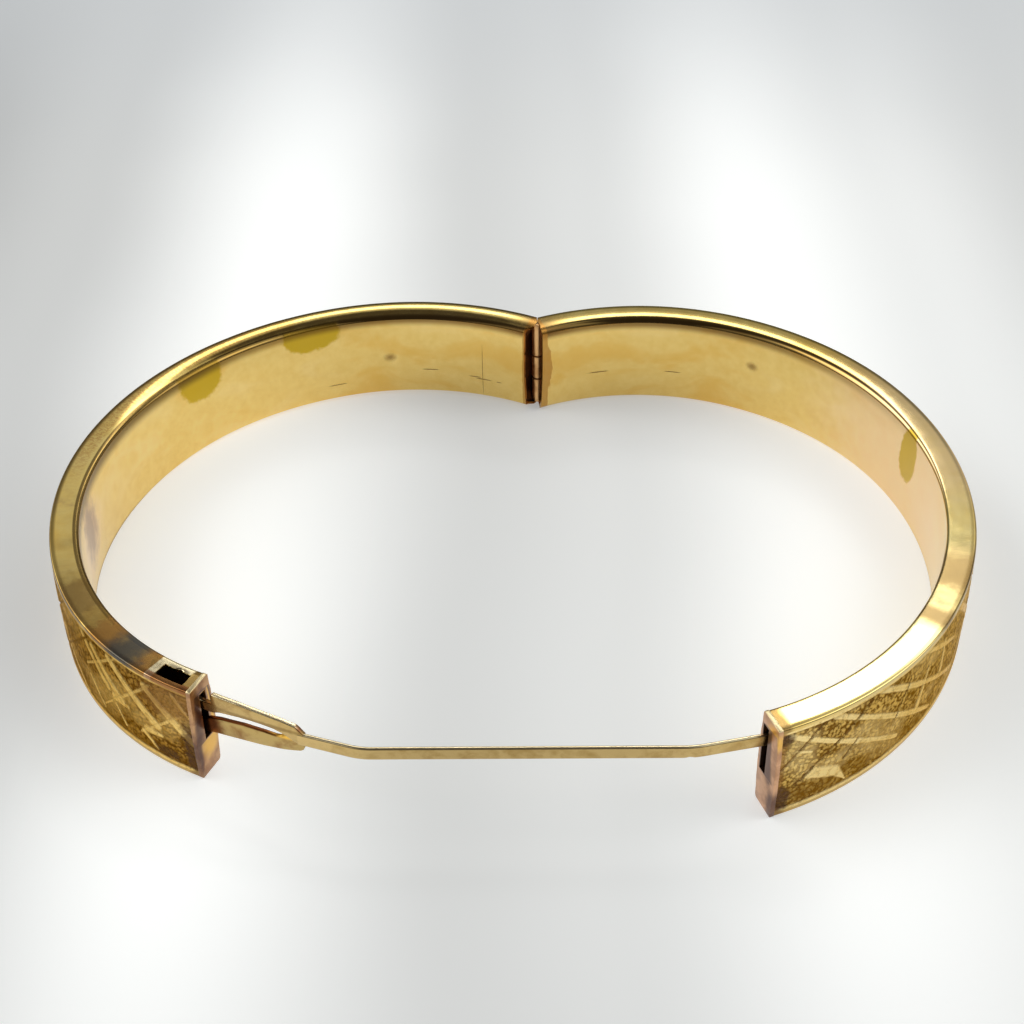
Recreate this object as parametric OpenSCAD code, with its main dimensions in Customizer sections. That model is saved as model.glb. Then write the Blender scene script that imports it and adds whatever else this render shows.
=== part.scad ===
// A hinged oval bangle of hollow sheet metal, lying open on its side.
// The rims are flat, the outer wall is slightly domed and the lining is rounded to the wrist.
// A forked snap tongue stands out of the left end, and a thin safety bar joins the two ends.

/* [Rims and walls] */
// Height of the band, which is its width on the wrist
band_height = 10; // [9:0.5:11]
// Depth of the flat rim, from the outer corner to where the lining starts to turn
rim_flat = 1.95; // [1.8:0.05:2.2]
// Radius of the turn from the rim into the lining
lining_turn = 0.65; // [0.5:0.05:0.8]
// How far the middle of the lining stands further in than its edges
lining_bulge = 0.2; // [0.1:0.05:0.25]
// How far the middle of the outer wall stands out past its edges
wall_dome = 0.12; // [0.05:0.01:0.2]
// Radius of the outer corners
corner_turn = 0.15; // [0.1:0.05:0.25]
// Thickness of the sheet
sheet = 0.35; // [0.3:0.05:0.4]

/* [Outline] */
// Angle that each of the four arcs of the left half turns through
left_turn = 45.75; // [45:0.25:46]
// Angle that each of the four arcs of the right half turns through
right_turn = 45.9; // [45.5:0.1:46]
// Angle by which the left half is opened about the hinge
left_open = 28.6; // [28:0.1:29]
// Angle by which the right half is opened about the hinge
right_open = 23.5; // [23:0.1:24]

/* [Hinge] */
// Distance of the hinge axis inside the outer wall
axis_inset = 0.85; // [0.8:0.05:0.9]
// Outer radius of the knuckles
knuckle_r = 0.58; // [0.5:0.02:0.62]
// Radius of the hinge pin
pin_r = 0.3; // [0.25:0.01:0.32]
// Radial clearance of the pin in its bore
pin_clearance = 0.03; // [0.02:0.01:0.05]
// Height where the lowest knuckle starts
knuckles_from = 0.3; // [0.3:0.1:0.5]
// Height where the middle knuckle starts
middle_from = 3.0; // [2.6:0.1:3.2]
// Height where the highest knuckle starts
upper_from = 5.8; // [5.4:0.1:6]
// Height where the highest knuckle ends
knuckles_to = 9.6; // [9.4:0.1:9.6]

/* [Ends] */
// Thickness of the end plates at the clasp
plate = 0.4; // [0.35:0.05:0.5]
// Thickness of the end blocks that carry the knuckles
hinge_block = 1.1; // [1:0.1:1.4]
// Length of the cut in the upper rim, through which the catch is pressed
notch_length = 2.85; // [2.4:0.05:3]
// Distance of that cut from the end
notch_from = 0.95; // [0.8:0.05:1.2]
// Width of that cut
notch_width = 1.15; // [0.9:0.05:1.2]
// Depth from the outer corner to that cut
notch_depth = 0.45; // [0.4:0.05:0.6]

/* [Snap tongue] */
// Distance of the tongue's middle from the hinge axis
tongue_r = 59.1; // [59.05:0.01:59.15]
// Thickness of the tongue's strip
tongue_thick = 0.45; // [0.4:0.05:0.5]
// Length of the tongue in front of the end plate
tongue_length = 8.7; // [8:0.1:9]
// Height of the point where the two prongs meet
crotch_z = 6.5; // [6.4:0.1:6.6]

/* [Safety bar] */
// Thickness of the bar
bar_thick = 0.4; // [0.35:0.05:0.45]
// Height of the bar's lower edge
bar_from = 6.45; // [6.4:0.05:6.5]
// Height of the bar's upper edge
bar_to = 7.7; // [7.6:0.05:7.8]

/* [Hidden] */
$fn = 160;

// Radii of the outline, from the hinge to the clasp; the two halves were bent by hand and differ a little
left_radii = [28.5, 32.5, 31.5, 27.0];
right_radii = [26.0, 30.0, 33.5, 31.5];
mid_z = band_height / 2;
lining_depth = rim_flat + lining_turn;
far = 20;

// Where an arc of a half's outline starts, with the hinge axis at the origin and the half heading along -X
function arc_start(radii, turn, i) = i == 0 ? [0, axis_inset] : arc_point(radii, turn, i - 1, i * turn);
// The point of arc i where the outline has turned through the angle a
function arc_point(radii, turn, i, a) =
    arc_start(radii, turn, i)
    + radii[i] * [sin(i * turn) - sin(a), cos(a) - cos(i * turn)];
function turned(p, a) = [p.x * cos(a) - p.y * sin(a), p.x * sin(a) + p.y * cos(a)];
// All of a half's outline at rest; side is 1 for the left half and -1 for the right half, its mirror image
function half_outline(radii, turn, open, side, steps = 24) =
    [for (i = [0 : len(radii) - 1]) for (k = [0 : steps])
        let (p = arc_point(radii, turn, i, (i + k / steps) * turn))
        turned([side * p.x, p.y], -side * open)];
left_outline = half_outline(left_radii, left_turn, left_open, 1);
right_outline = half_outline(right_radii, right_turn, right_open, -1);
both = concat(left_outline, right_outline);
xs = [for (p = both) p.x];
ys = [for (p = both) p.y];
// The hinge axis stands where the open bangle's box is centred on the origin
hinge = [-(min(xs) + max(xs)) / 2, -(min(ys) + max(ys)) / 2];

// Ends of the two outlines, seen from the hinge axis: distance, and angle from -Y towards +X
left_end = left_outline[len(left_outline) - 1];
right_end = right_outline[len(right_outline) - 1];
left_end_r = norm(left_end);
right_end_r = norm(right_end);
left_end_a = atan2(left_end.x, -left_end.y);
right_end_a = atan2(right_end.x, -right_end.y);
// A point by its distance from the hinge axis and its angle from -Y
function around(r, a) = [r * sin(a), -r * cos(a)];
// The angle that a length takes up along the tongue's circle
function along(length) = length / tongue_r * 180 / PI;

// Section of the band, as [depth inwards from the outline, height]
turn_steps = 4;
dome_steps = 8;
function dome(z) = -wall_dome * (1 - pow((z - mid_z) / (mid_z - corner_turn), 2));
function bulge(z) = lining_bulge * (1 - pow((z - mid_z) / (mid_z - lining_turn), 2));
// Upper half of the section, from the middle of the outer wall over the rim to the middle of the lining
upper_section = concat(
    [for (k = [dome_steps / 2 : dome_steps - 1])
        let (z = corner_turn + k / dome_steps * (band_height - 2 * corner_turn)) [dome(z), z]],
    [for (k = [0 : 2])
        let (a = 45 * k) [corner_turn * (1 - cos(a)), band_height - corner_turn * (1 - sin(a))]],
    [for (k = [0 : turn_steps])
        let (a = 90 * k / turn_steps)
        [rim_flat + lining_turn * sin(a), band_height - lining_turn * (1 - cos(a))]],
    [for (k = [1 : dome_steps / 2])
        let (z = band_height - lining_turn - k / dome_steps * (band_height - 2 * lining_turn))
        [lining_depth + bulge(z), z]]
);
function flipped(points) = [for (k = [len(points) - 2 : -1 : 1]) [points[k].x, band_height - points[k].y]];
band_section = concat(upper_section, flipped(upper_section));
// Section of the hollow inside
hollow_turn = 0.5;
hollow_section = [
    [sheet, sheet], [rim_flat, sheet], [lining_depth - sheet, sheet + hollow_turn],
    [lining_depth + lining_bulge - sheet, mid_z],
    [lining_depth - sheet, band_height - sheet - hollow_turn], [rim_flat, band_height - sheet],
    [sheet, band_height - sheet]
];

// One arc of a half, between two turning angles, in the half's own frame
module arc(radii, turn, i, from, to, section) {
    start = arc_start(radii, turn, i);
    radius = radii[i];
    translate([start.x + radius * sin(i * turn), start.y - radius * cos(i * turn), 0])
        rotate([0, 0, 90 + from])
            rotate_extrude(angle = to - from)
                polygon([for (p = section) [radius - p.x, p.y]]);
}

// A half's chain of arcs; the first and last stop short of the ends by the given lengths.
// Every other arc is a hair slimmer and reaches a little into its neighbours, so that they are one solid;
// lower is the share of its height that it keeps.
slim = 0.985;
reach = 0.3;
slim_depth = lining_depth / 2;
function slimmed(section, lower) =
    [for (p = section) [slim_depth + slim * (p.x - slim_depth), mid_z + lower * (p.y - mid_z)]];
module arcs(radii, turn, section, lower = 1, skip_first = 0, skip_last = 0) {
    last = len(radii) - 1;
    for (i = [0 : last]) {
        overlap = i % 2 == 1 ? reach : 0;
        from = i * turn + (i == 0 ? skip_first / radii[0] * 180 / PI : -overlap);
        to = (i + 1) * turn + (i == last ? -skip_last / radii[last] * 180 / PI : overlap);
        arc(radii, turn, i, from, to, overlap > 0 ? slimmed(section, lower) : section);
    }
}

// Stands a half at its place; side is 1 for the left half and -1 for the right half
module placed(side, open) {
    translate([hinge.x, hinge.y, 0])
        rotate([0, 0, -side * open])
            mirror([side < 0 ? 1 : 0, 0, 0])
                children();
}

// A ring or disc about the hinge axis
module around_hinge(r, from, to) {
    translate([hinge.x, hinge.y, from]) cylinder(r = r, h = to - from);
}

// The hollow band of one half
module shell(radii, turn) {
    difference() {
        arcs(radii, turn, band_section);
        arcs(radii, turn, hollow_section, slim, hinge_block, plate);
    }
}

// What is cut off the outside of the hinge, so that the open halves meet there and stop
stop_gap = 0.03;
module stop_cut(side) {
    translate([hinge.x + (side > 0 ? -stop_gap : stop_gap - far), hinge.y, -1])
        cube([far, far, band_height + 2]);
}

gutter_gap = 0.08;
knuckle_gap = 0.12;
bore_r = pin_r + pin_clearance;
lower_to = middle_from - knuckle_gap;
middle_to = upper_from - knuckle_gap;
module gutter(from, to) {
    around_hinge(knuckle_r + gutter_gap, from - knuckle_gap / 2, to + knuckle_gap / 2);
}
module pin_bore() {
    around_hinge(bore_r, -1, band_height + 1);
}

// Slots in the end plates, through which the tongue and the bar pass
slot_in = 0.38;
slot_out = 0.5;
slot_from = 3.55;
slot_to = 8.7;
slot_reach = 2;
module plate_slot(angle) {
    translate([hinge.x, hinge.y, slot_from])
        rotate([0, 0, angle])
            translate([-slot_reach, -tongue_r - slot_out, 0])
                cube([2 * slot_reach, slot_in + slot_out, slot_to - slot_from]);
}

// The cut in the left half's upper rim, behind the end plate
module rim_notch() {
    translate([hinge.x, hinge.y, band_height - 1])
        rotate([0, 0, left_end_a])
            translate([-notch_from - notch_length, -left_end_r + notch_depth, 0])
                cube([notch_length, notch_width, 2]);
}

module left_half() {
    color([0.74, 0.60, 0.30])
        difference() {
            union() {
                difference() {
                    placed(1, left_open) shell(left_radii, left_turn);
                    stop_cut(1);
                    gutter(knuckles_from, lower_to);
                    gutter(upper_from, knuckles_to);
                }
                around_hinge(knuckle_r, middle_from, middle_to);
            }
            pin_bore();
            plate_slot(left_end_a);
            rim_notch();
        }
}

module right_half() {
    color([0.74, 0.60, 0.30])
        difference() {
            union() {
                difference() {
                    placed(-1, right_open) shell(right_radii, right_turn);
                    stop_cut(-1);
                    gutter(middle_from, middle_to);
                }
                around_hinge(knuckle_r, knuckles_from, lower_to);
                around_hinge(knuckle_r, upper_from, knuckles_to);
            }
            pin_bore();
            plate_slot(right_end_a);
        }
}

module hinge_pin() {
    color([0.62, 0.45, 0.24])
        around_hinge(pin_r, 0.15, band_height - 0.2);
}

// The tongue's strip is bent about the hinge axis. Its side view is drawn as
// [distance in front of the left end plate, height] and cut out of that strip.
module strip(side_view) {
    middle = left_end_a + along(tongue_length / 2);
    intersection() {
        translate([hinge.x, hinge.y, 0])
            rotate([0, 0, left_end_a - 90 - along(far / 2)])
                rotate_extrude(angle = along(far * 1.5))
                    translate([tongue_r - tongue_thick / 2, 0])
                        square([tongue_thick, band_height]);
        translate([hinge.x, hinge.y, 0])
            rotate([0, 0, middle])
                translate([-tongue_length / 2, -tongue_r + 3, 0])
                    rotate([90, 0, 0])
                        linear_extrude(height = 6)
                            polygon(side_view);
    }
}

// The round root of the leaf lies in a socket of the nose
leaf_root = [7.3, 7.2];
leaf_root_r = 0.58;
socket_gap = 0.05;
function arc_about(c, r, from, to, steps) =
    [for (k = [0 : steps]) let (a = from + (to - from) * k / steps) c + r * [cos(a), sin(a)]];

// The lower prong, its hidden tail in the hollow of the left half, and the nose
tail_length = 3.2;
module snap_tongue() {
    color([0.78, 0.62, 0.32])
        strip(concat(
            [[-tail_length, 3.9], [-plate, 3.9], [0.3, 3.8], [7.9, 5.72]],
            arc_about([tongue_length - 0.45, 6.25], 0.45, -70, 0, 4),
            [[tongue_length, 7.5], [8.27, 7.85]],
            arc_about(leaf_root, leaf_root_r + socket_gap, 62, -96, 10),
            [[6.9, crotch_z], [0.3, 5.65], [-plate - 0.3, 5.1], [-tail_length, 5.1]]
        ));
}

// The upper prong: a springy leaf with a shoulder that catches behind the right end plate, and a finger
// that reaches through the slot to below the cut in the rim
shoulder = 0.87;
finger_length = 2.9;
module catch_leaf() {
    color([0.78, 0.62, 0.32])
        strip(concat(
            [[-finger_length, 7.0], [shoulder, 6.9], [leaf_root.x - 0.1, leaf_root.y - leaf_root_r]],
            arc_about(leaf_root, leaf_root_r, -90, 90, 12),
            [[shoulder, 8.5], [shoulder, 7.95], [-finger_length, 7.95]]
        ));
}

// Path of the safety bar about the hinge axis: from the nose along two bends into the right end, where
// it is turned outwards as a stop behind the plate
bar_path = [
    around(tongue_r + 0.15, left_end_a + along(tongue_length + socket_gap)),
    around(59.4, -14.8),
    around(58.8, 11.2),
    around(tongue_r - 0.1, right_end_a),
    around(tongue_r - 0.1, right_end_a + along(plate + 0.55)),
    around(tongue_r + 1.1, right_end_a + along(plate + 0.55))
];
bar_bends = [0, 6, 8, 8, 0.3, 0];
bend_steps = 6;
function unit(v) = v / norm(v);
// The corner at p of the way from a to b, rounded with the radius r and moved sideways by the offset
function rounded(a, p, b, r, offset) =
    let (
        u = unit(p - a), v = unit(b - p),
        bend = atan2(u.x * v.y - u.y * v.x, u * v),
        cut = r * tan(abs(bend) / 2),
        side = bend > 0 ? 1 : -1,
        centre = p - cut * u + side * r * [-u.y, u.x],
        start = atan2(-side * u.x, side * u.y)
    )
    [for (k = [0 : bend_steps])
        centre + (r - side * offset) * [cos(start + bend * k / bend_steps), sin(start + bend * k / bend_steps)]];
function beside(path, bends, offset) =
    let (last = len(path) - 1, u = unit(path[1] - path[0]), v = unit(path[last] - path[last - 1]))
    concat(
        [path[0] + offset * [-u.y, u.x]],
        [for (i = [1 : last - 1]) for (p = rounded(path[i - 1], path[i], path[i + 1], bends[i], offset)) p],
        [path[last] + offset * [-v.y, v.x]]
    );
function backwards(points) = [for (k = [len(points) - 1 : -1 : 0]) points[k]];

module safety_bar() {
    color([0.80, 0.65, 0.35])
        translate([hinge.x, hinge.y, bar_from])
            linear_extrude(height = bar_to - bar_from)
                polygon(concat(
                    beside(bar_path, bar_bends, -bar_thick / 2),
                    backwards(beside(bar_path, bar_bends, bar_thick / 2))
                ));
}

left_half();
right_half();
hinge_pin();
snap_tongue();
catch_leaf();
safety_bar();
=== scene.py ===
from math import atan2, cos, pi, radians, sin, tan

import bmesh
import bpy
import numpy as np
from mathutils import Matrix, Vector


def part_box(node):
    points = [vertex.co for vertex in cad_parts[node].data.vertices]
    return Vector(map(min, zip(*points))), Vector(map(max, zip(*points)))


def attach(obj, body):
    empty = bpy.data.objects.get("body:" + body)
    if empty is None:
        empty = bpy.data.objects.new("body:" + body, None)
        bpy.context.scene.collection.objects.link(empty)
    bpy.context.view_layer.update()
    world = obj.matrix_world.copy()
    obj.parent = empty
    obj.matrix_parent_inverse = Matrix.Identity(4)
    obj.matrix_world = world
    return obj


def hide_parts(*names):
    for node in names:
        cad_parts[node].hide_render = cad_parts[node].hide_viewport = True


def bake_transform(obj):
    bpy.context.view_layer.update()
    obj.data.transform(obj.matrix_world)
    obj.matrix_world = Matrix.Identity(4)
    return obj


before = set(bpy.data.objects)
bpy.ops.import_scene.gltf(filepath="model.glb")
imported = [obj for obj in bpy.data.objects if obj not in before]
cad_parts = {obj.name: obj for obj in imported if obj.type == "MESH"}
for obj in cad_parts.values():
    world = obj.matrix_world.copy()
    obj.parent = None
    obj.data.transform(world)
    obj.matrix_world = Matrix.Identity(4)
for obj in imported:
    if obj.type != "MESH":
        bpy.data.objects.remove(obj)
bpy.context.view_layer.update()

# An open hinged bangle of hollow gold-coloured sheet, lying on its side.
# Everything is worked out in millimetres and turned into metres when a mesh is made.
MM = 0.001

# Band, in the CAD's sizes
BAND = 10
MID = BAND / 2
AXIS_INSET = 0.85
RIM_FLAT = 1.95
LINING_TURN = 0.65
LINING_DEPTH = RIM_FLAT + LINING_TURN
LINING_BULGE = 0.2
WALL_DOME = 0.12
CORNER = 0.15
PLATE = 0.4
HINGE_BLOCK = 1.1
STOP_GAP = 0.03
WALL_BACK = 0.25
SHEET = 0.28
PATH_STEP = 0.02
EASED_OVER = 5
# The engraved field of the outer wall lies between plain border strips
FIELD_FROM = 0.42
FIELD_TO = BAND - 0.42

low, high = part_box("hinge_pin")
HINGE = ((low.x + high.x) / 2 / MM, (low.y + high.y) / 2 / MM)


# Random numbers that are the same in every run
def hashed(i, j, seed):
    value = np.sin(i * 127.1 + j * 311.7 + seed * 74.7) * 43758.5453
    return value - np.floor(value)


def smooth(t):
    t = np.clip(t, 0, 1)
    return t * t * (3 - 2 * t)


def ramp(value, start, end):
    return smooth((value - start) / (end - start))


def soft_noise(x, y, seed):
    i, j = np.floor(x), np.floor(y)
    u, v = smooth(x - i), smooth(y - j)
    a = hashed(i, j, seed) * (1 - u) + hashed(i + 1, j, seed) * u
    b = hashed(i, j + 1, seed) * (1 - u) + hashed(i + 1, j + 1, seed) * u
    return a * (1 - v) + b * v - 0.5


def cell_distance(x, y, seed):
    i, j = np.floor(x), np.floor(y)
    best = np.full(np.broadcast(x, y).shape, 9.0)
    for di in (-1, 0, 1):
        for dj in (-1, 0, 1):
            px = i + di + hashed(i + di, j + dj, seed)
            py = j + dj + hashed(i + di, j + dj, seed + 7)
            best = np.minimum(best, np.hypot(px - x, py - y))
    return best


# Running sum by the trapezoid rule
def summed(values, step):
    return np.concatenate([[0], np.cumsum((values[1:] + values[:-1]) / 2 * step)])


# A half's outline from hinge to clasp: four tangent arcs with their curvature eased into each
# other, and normals that point outwards
class Half:
    def __init__(self, name, radii, turn, opened, side):
        self.name = name
        self.side = side
        self.body = name + "_side"
        self.node = name + "_half"
        self.opened = radians(opened)
        turn = radians(turn)
        ends = np.cumsum([r * turn for r in radii])
        self.total = float(ends[-1])
        self.run = np.linspace(0, self.total, int(self.total / PATH_STEP) + 1)
        step = self.run[1]
        bend = 1 / np.array(radii)[np.searchsorted(ends[:-1], self.run)]
        window = int(EASED_OVER / step) | 1
        for _ in range(2):
            padded = np.pad(bend, window // 2, mode="edge")
            bend = np.convolve(padded, np.ones(window) / window, mode="valid")
        angle = summed(bend, step)
        angle *= turn * len(radii) / angle[-1]
        x = summed(-np.cos(angle), step)
        y = AXIS_INSET + summed(-np.sin(angle), step)
        end = [0, AXIS_INSET]
        for i, r in enumerate(radii):
            end[0] += r * (sin(i * turn) - sin((i + 1) * turn))
            end[1] += r * (cos((i + 1) * turn) - cos(i * turn))
        share = self.run / self.total
        x += (end[0] - x[-1]) * share
        y += (end[1] - y[-1]) * share
        c, s = cos(self.opened), -side * sin(self.opened)
        self.x = HINGE[0] + side * x * c - y * s
        self.y = HINGE[1] + side * x * s + y * c
        self.nx = side * np.sin(angle) * c + np.cos(angle) * s
        self.ny = side * np.sin(angle) * s - np.cos(angle) * c
        self.end_a = atan2(self.x[-1] - HINGE[0], HINGE[1] - self.y[-1])

    # Points by the distance from the clasp end, the depth inside the outline and the height
    def at(self, s, depth, z):
        run = self.total - np.asarray(s, float)
        past = np.maximum(0, -run)
        x, y, nx, ny = (np.interp(run, self.run, values) for values in (self.x, self.y, self.nx, self.ny))
        x = x + depth * nx + past * self.ny[0]
        y = y + depth * ny - past * self.nx[0]
        return np.stack(np.broadcast_arrays(x, y, z), -1)

    # Where the open halves meet outside the hinge, each is cut off along a plane
    def cut_back(self, depth):
        back = ((AXIS_INSET - depth) * sin(self.opened) + STOP_GAP) / cos(self.opened)
        return np.maximum(STOP_GAP / 2, back)


LEFT = Half("left", (28.5, 32.5, 31.5, 27), 45.75, 28.6, 1)
RIGHT = Half("right", (26, 30, 33.5, 31.5), 45.9, 23.5, -1)


def link(name, data):
    thing = bpy.data.objects.new(name, data)
    bpy.context.scene.collection.objects.link(thing)
    return thing


def smoothed(thing, sharp):
    thing.data.shade_smooth()
    thing.data.set_sharp_from_angle(angle=radians(sharp))
    return thing


# Meshes from numbers in millimetres
def new_object(name, verts, faces, material):
    mesh = bpy.data.meshes.new(name)
    mesh.from_pydata((np.asarray(verts, float) * MM).tolist(), [], faces)
    mesh.validate()
    mesh.materials.append(material)
    return link(name, mesh)


# The four-sided faces between closed rings of points, by ring and by place across
def ring_faces(rings, across):
    i, j = np.meshgrid(np.arange(rings - 1), np.arange(across), indexing="ij")
    k = (j + 1) % across
    return np.stack([i * across + j, i * across + k, (i + 1) * across + k, (i + 1) * across + j], -1)


def ring_caps(rings, across):
    return [list(range(across))[::-1], list(range((rings - 1) * across, rings * across))]


# A tube of rings; points has the shape (rings, points across, 3)
def tube(name, points, material, sharp):
    rings, across = points.shape[:2]
    faces = ring_faces(rings, across).reshape(-1, 4).tolist() + ring_caps(rings, across)
    thing = new_object(name, points.reshape(-1, 3), faces, material)
    outwards(thing)
    return smoothed(thing, sharp)


def outwards(thing):
    bm = bmesh.new()
    bm.from_mesh(thing.data)
    bmesh.ops.recalc_face_normals(bm, faces=bm.faces)
    bm.to_mesh(thing.data)
    bm.free()


def put_values(thing, name, values):
    data = np.ascontiguousarray(values, np.float32)
    kind, field = ("FLOAT_VECTOR", "vector") if data.ndim == 2 else ("FLOAT", "value")
    thing.data.attributes.new(name, kind, "POINT").data.foreach_set(field, data.ravel())


def cut(thing, cutter):
    change = thing.modifiers.new("cut", "BOOLEAN")
    change.solver = "EXACT"
    change.object = cutter
    bpy.context.view_layer.update()
    graph = bpy.context.evaluated_depsgraph_get()
    result = thing.evaluated_get(graph)
    mesh = bpy.data.meshes.new_from_object(result, preserve_all_data_layers=True, depsgraph=graph)
    thing.modifiers.clear()
    thing.data = mesh
    bpy.data.objects.remove(cutter)


# A flat outline thickened between two values of its third coordinate, with rounded edges.
# The outline's own coordinates stay until the mesh is bent by the function place.
def slab(name, outline, start, end, place, material, bevel, slices=()):
    bm = bmesh.new()
    ring = [bm.verts.new((u, start, v)) for u, v in outline]
    face = bm.faces.new(ring)
    grown = bmesh.ops.extrude_face_region(bm, geom=[face])
    for item in grown["geom"]:
        if isinstance(item, bmesh.types.BMVert):
            item.co.y = end
    bmesh.ops.recalc_face_normals(bm, faces=bm.faces)
    if bevel:
        edges = [e for e in bm.edges if e.is_manifold and e.calc_face_angle() > radians(30)]
        bmesh.ops.bevel(bm, geom=edges, offset=bevel, offset_type="OFFSET", segments=3, profile=0.5,
                        affect="EDGES", clamp_overlap=True)
    for u in slices:
        everything = [*bm.verts, *bm.edges, *bm.faces]
        bmesh.ops.bisect_plane(bm, geom=everything, plane_co=(u, 0, 0), plane_no=(1, 0, 0), dist=1e-5)
    bmesh.ops.triangulate(bm, faces=[f for f in bm.faces if len(f.verts) > 4])
    flat = np.array([v.co for v in bm.verts])
    layer = bm.verts.layers.float_vector.new("place")
    for vert in bm.verts:
        vert[layer] = (vert.co.x, vert.co.z, vert.co.y)
    bent = place(flat[:, 0], flat[:, 1], flat[:, 2]) * MM
    for vert, co in zip(bm.verts, bent):
        vert.co = co
    bmesh.ops.recalc_face_normals(bm, faces=bm.faces)
    mesh = bpy.data.meshes.new(name)
    bm.to_mesh(mesh)
    bm.free()
    mesh.materials.append(material)
    return smoothed(link(name, mesh), 45)


# A shape turned about the hinge axis; profile gives radii and heights
def lathe(name, profile, material, steps, sharp):
    turns = np.arange(steps) / steps * 2 * pi
    r, z = np.array(profile).T[:, :, None]
    points = np.broadcast_arrays(HINGE[0] + r * np.cos(turns), HINGE[1] + r * np.sin(turns), z)
    return tube(name, np.stack(points, -1), material, sharp)


# Node trees, built from short calls
class Tree:
    def __init__(self, name, world=None):
        self.owner = world or bpy.data.materials.new(name)
        self.owner.use_nodes = True
        self.tree = self.owner.node_tree
        self.tree.nodes.clear()

    def node(self, kind, inputs=(), **settings):
        made = self.tree.nodes.new("ShaderNode" + kind)
        for key, value in settings.items():
            setattr(made, key, value)
        for key, value in dict(inputs).items():
            self.set(made.inputs[key], value)
        return made

    def set(self, socket, value):
        if isinstance(value, bpy.types.NodeSocket):
            self.tree.links.new(value, socket)
        elif value is not None:
            if socket.type == "RGBA" and len(value) == 3:
                value = (*value, 1)
            socket.default_value = value

    def math(self, operation, *values):
        return self.node("Math", enumerate(values), operation=operation).outputs[0]

    def times(self, *values):
        result = values[0]
        for value in values[1:]:
            result = self.math("MULTIPLY", result, value)
        return result

    def most(self, values):
        result = values[0]
        for value in values[1:]:
            result = self.math("MAXIMUM", result, value)
        return result

    def vector(self, operation, *values, out=0):
        return self.node("VectorMath", enumerate(values), operation=operation).outputs[out]

    def mix(self, share, a, b, kind="MIX"):
        return self.node("Mix", {0: share, 6: a, 7: b}, data_type="RGBA", blend_type=kind).outputs[2]

    # The colour, changed where the mask is towards a tint, by no more than the share; used both for
    # stains and for painted light and shade
    def stain_or_light(self, colour, tint, mask, share):
        return self.mix(self.times(mask, share), colour, tint)

    def map(self, value, low, high, to_low=0, to_high=1, easing="SMOOTHSTEP"):
        inputs = {0: value, 1: low, 2: high, 3: to_low, 4: to_high}
        return self.node("MapRange", inputs, interpolation_type=easing).outputs[0]

    def apart(self, vector):
        return self.node("SeparateXYZ", {0: vector}).outputs

    def noise(self, place, scale, detail=2, rough=0.5, warp=0, stretch=None):
        if stretch:
            place = self.vector("MULTIPLY", place, stretch)
        inputs = dict(Vector=place, Scale=scale, Detail=detail, Roughness=rough, Distortion=warp)
        return self.node("TexNoise", inputs).outputs[0]

    def attribute(self, name, out="Fac"):
        return self.node("Attribute", attribute_name=name).outputs[out]

    # Depths in mm
    def bump(self, height, distance, normal=None):
        inputs = {"Height": height, "Distance": distance * MM, "Normal": normal}
        return self.node("Bump", inputs).outputs[0]

    def ragged(self, place, scale, detail=4):
        return self.math("SUBTRACT", self.noise(place, scale, detail, 0.6), 0.5)

    # An oval spot on the band by its place along and across, its half length and half height
    def spot(self, place, ragged, s, z, long, tall, soft, wobble, lean=0):
        away = self.vector("SUBTRACT", place, (s, z, 0))
        if lean:
            along, across, _ = self.apart(away)
            shifted = self.math("MULTIPLY_ADD", across, lean, along)
            away = self.node("CombineXYZ", {0: shifted, 1: across}).outputs[0]
        away = self.vector("MULTIPLY", away, (1 / long, 1 / tall, 0))
        away = self.vector("LENGTH", away, out="Value")
        return self.map(self.math("MULTIPLY_ADD", ragged, wobble, away), 1 + soft, 1 - soft)

    # For each kind of mark one mask that covers all its spots
    def masks(self, place, scale, marks):
        ragged = self.ragged(place, scale)
        return {kind: self.most([self.spot(place, ragged, *row) for row in rows])
                for kind, rows in marks.items()}

    def metal(self, colour, rough, normal, tint=None):
        inputs = {"Base Color": colour, "Metallic": 1, "Roughness": rough, "Normal": normal}
        self.output("OutputMaterial", self.node("BsdfPrincipled", {**inputs, "Specular Tint": tint}))
        return self.owner

    def output(self, kind, shader):
        self.tree.links.new(shader.outputs[0], self.node(kind).inputs[0])


# Colours of the metal, its stains and its painted sheen and highlight, as linear light
OLIVE = (0.58, 0.38, 0.02)
BROWN = (0.2, 0.1, 0.03)
COPPER = (0.5, 0.24, 0.05)
PINK = (0.92, 0.66, 0.42)
SLATE = (0.075, 0.08, 0.08)
RUST = (0.22, 0.07, 0.02)
ORANGE = (0.9, 0.52, 0.08)
# Cream: the painted highlight on the upper sides of the leaf and the bar
HIGHLIGHT_CREAM = (0.97, 0.8, 0.5)


# Worn gold-coloured metal with faint waves and fine scratches
def common_metal(tree, waves, scratch):
    place = tree.node("TexCoord").outputs["Object"]
    slow = tree.noise(place, 220, 2, 0.5)
    middle = tree.noise(place, 900, 4, 0.6)
    fine = tree.noise(place, 7000, 3, 0.6, 0, (1, 1, 0.12))
    hair = tree.noise(place, 9000, 2, 0.5, 0, (0.15, 0.15, 1))
    return place, middle, tree.bump(tree.math("ADD", fine, hair), scratch, tree.bump(slow, waves))
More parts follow.
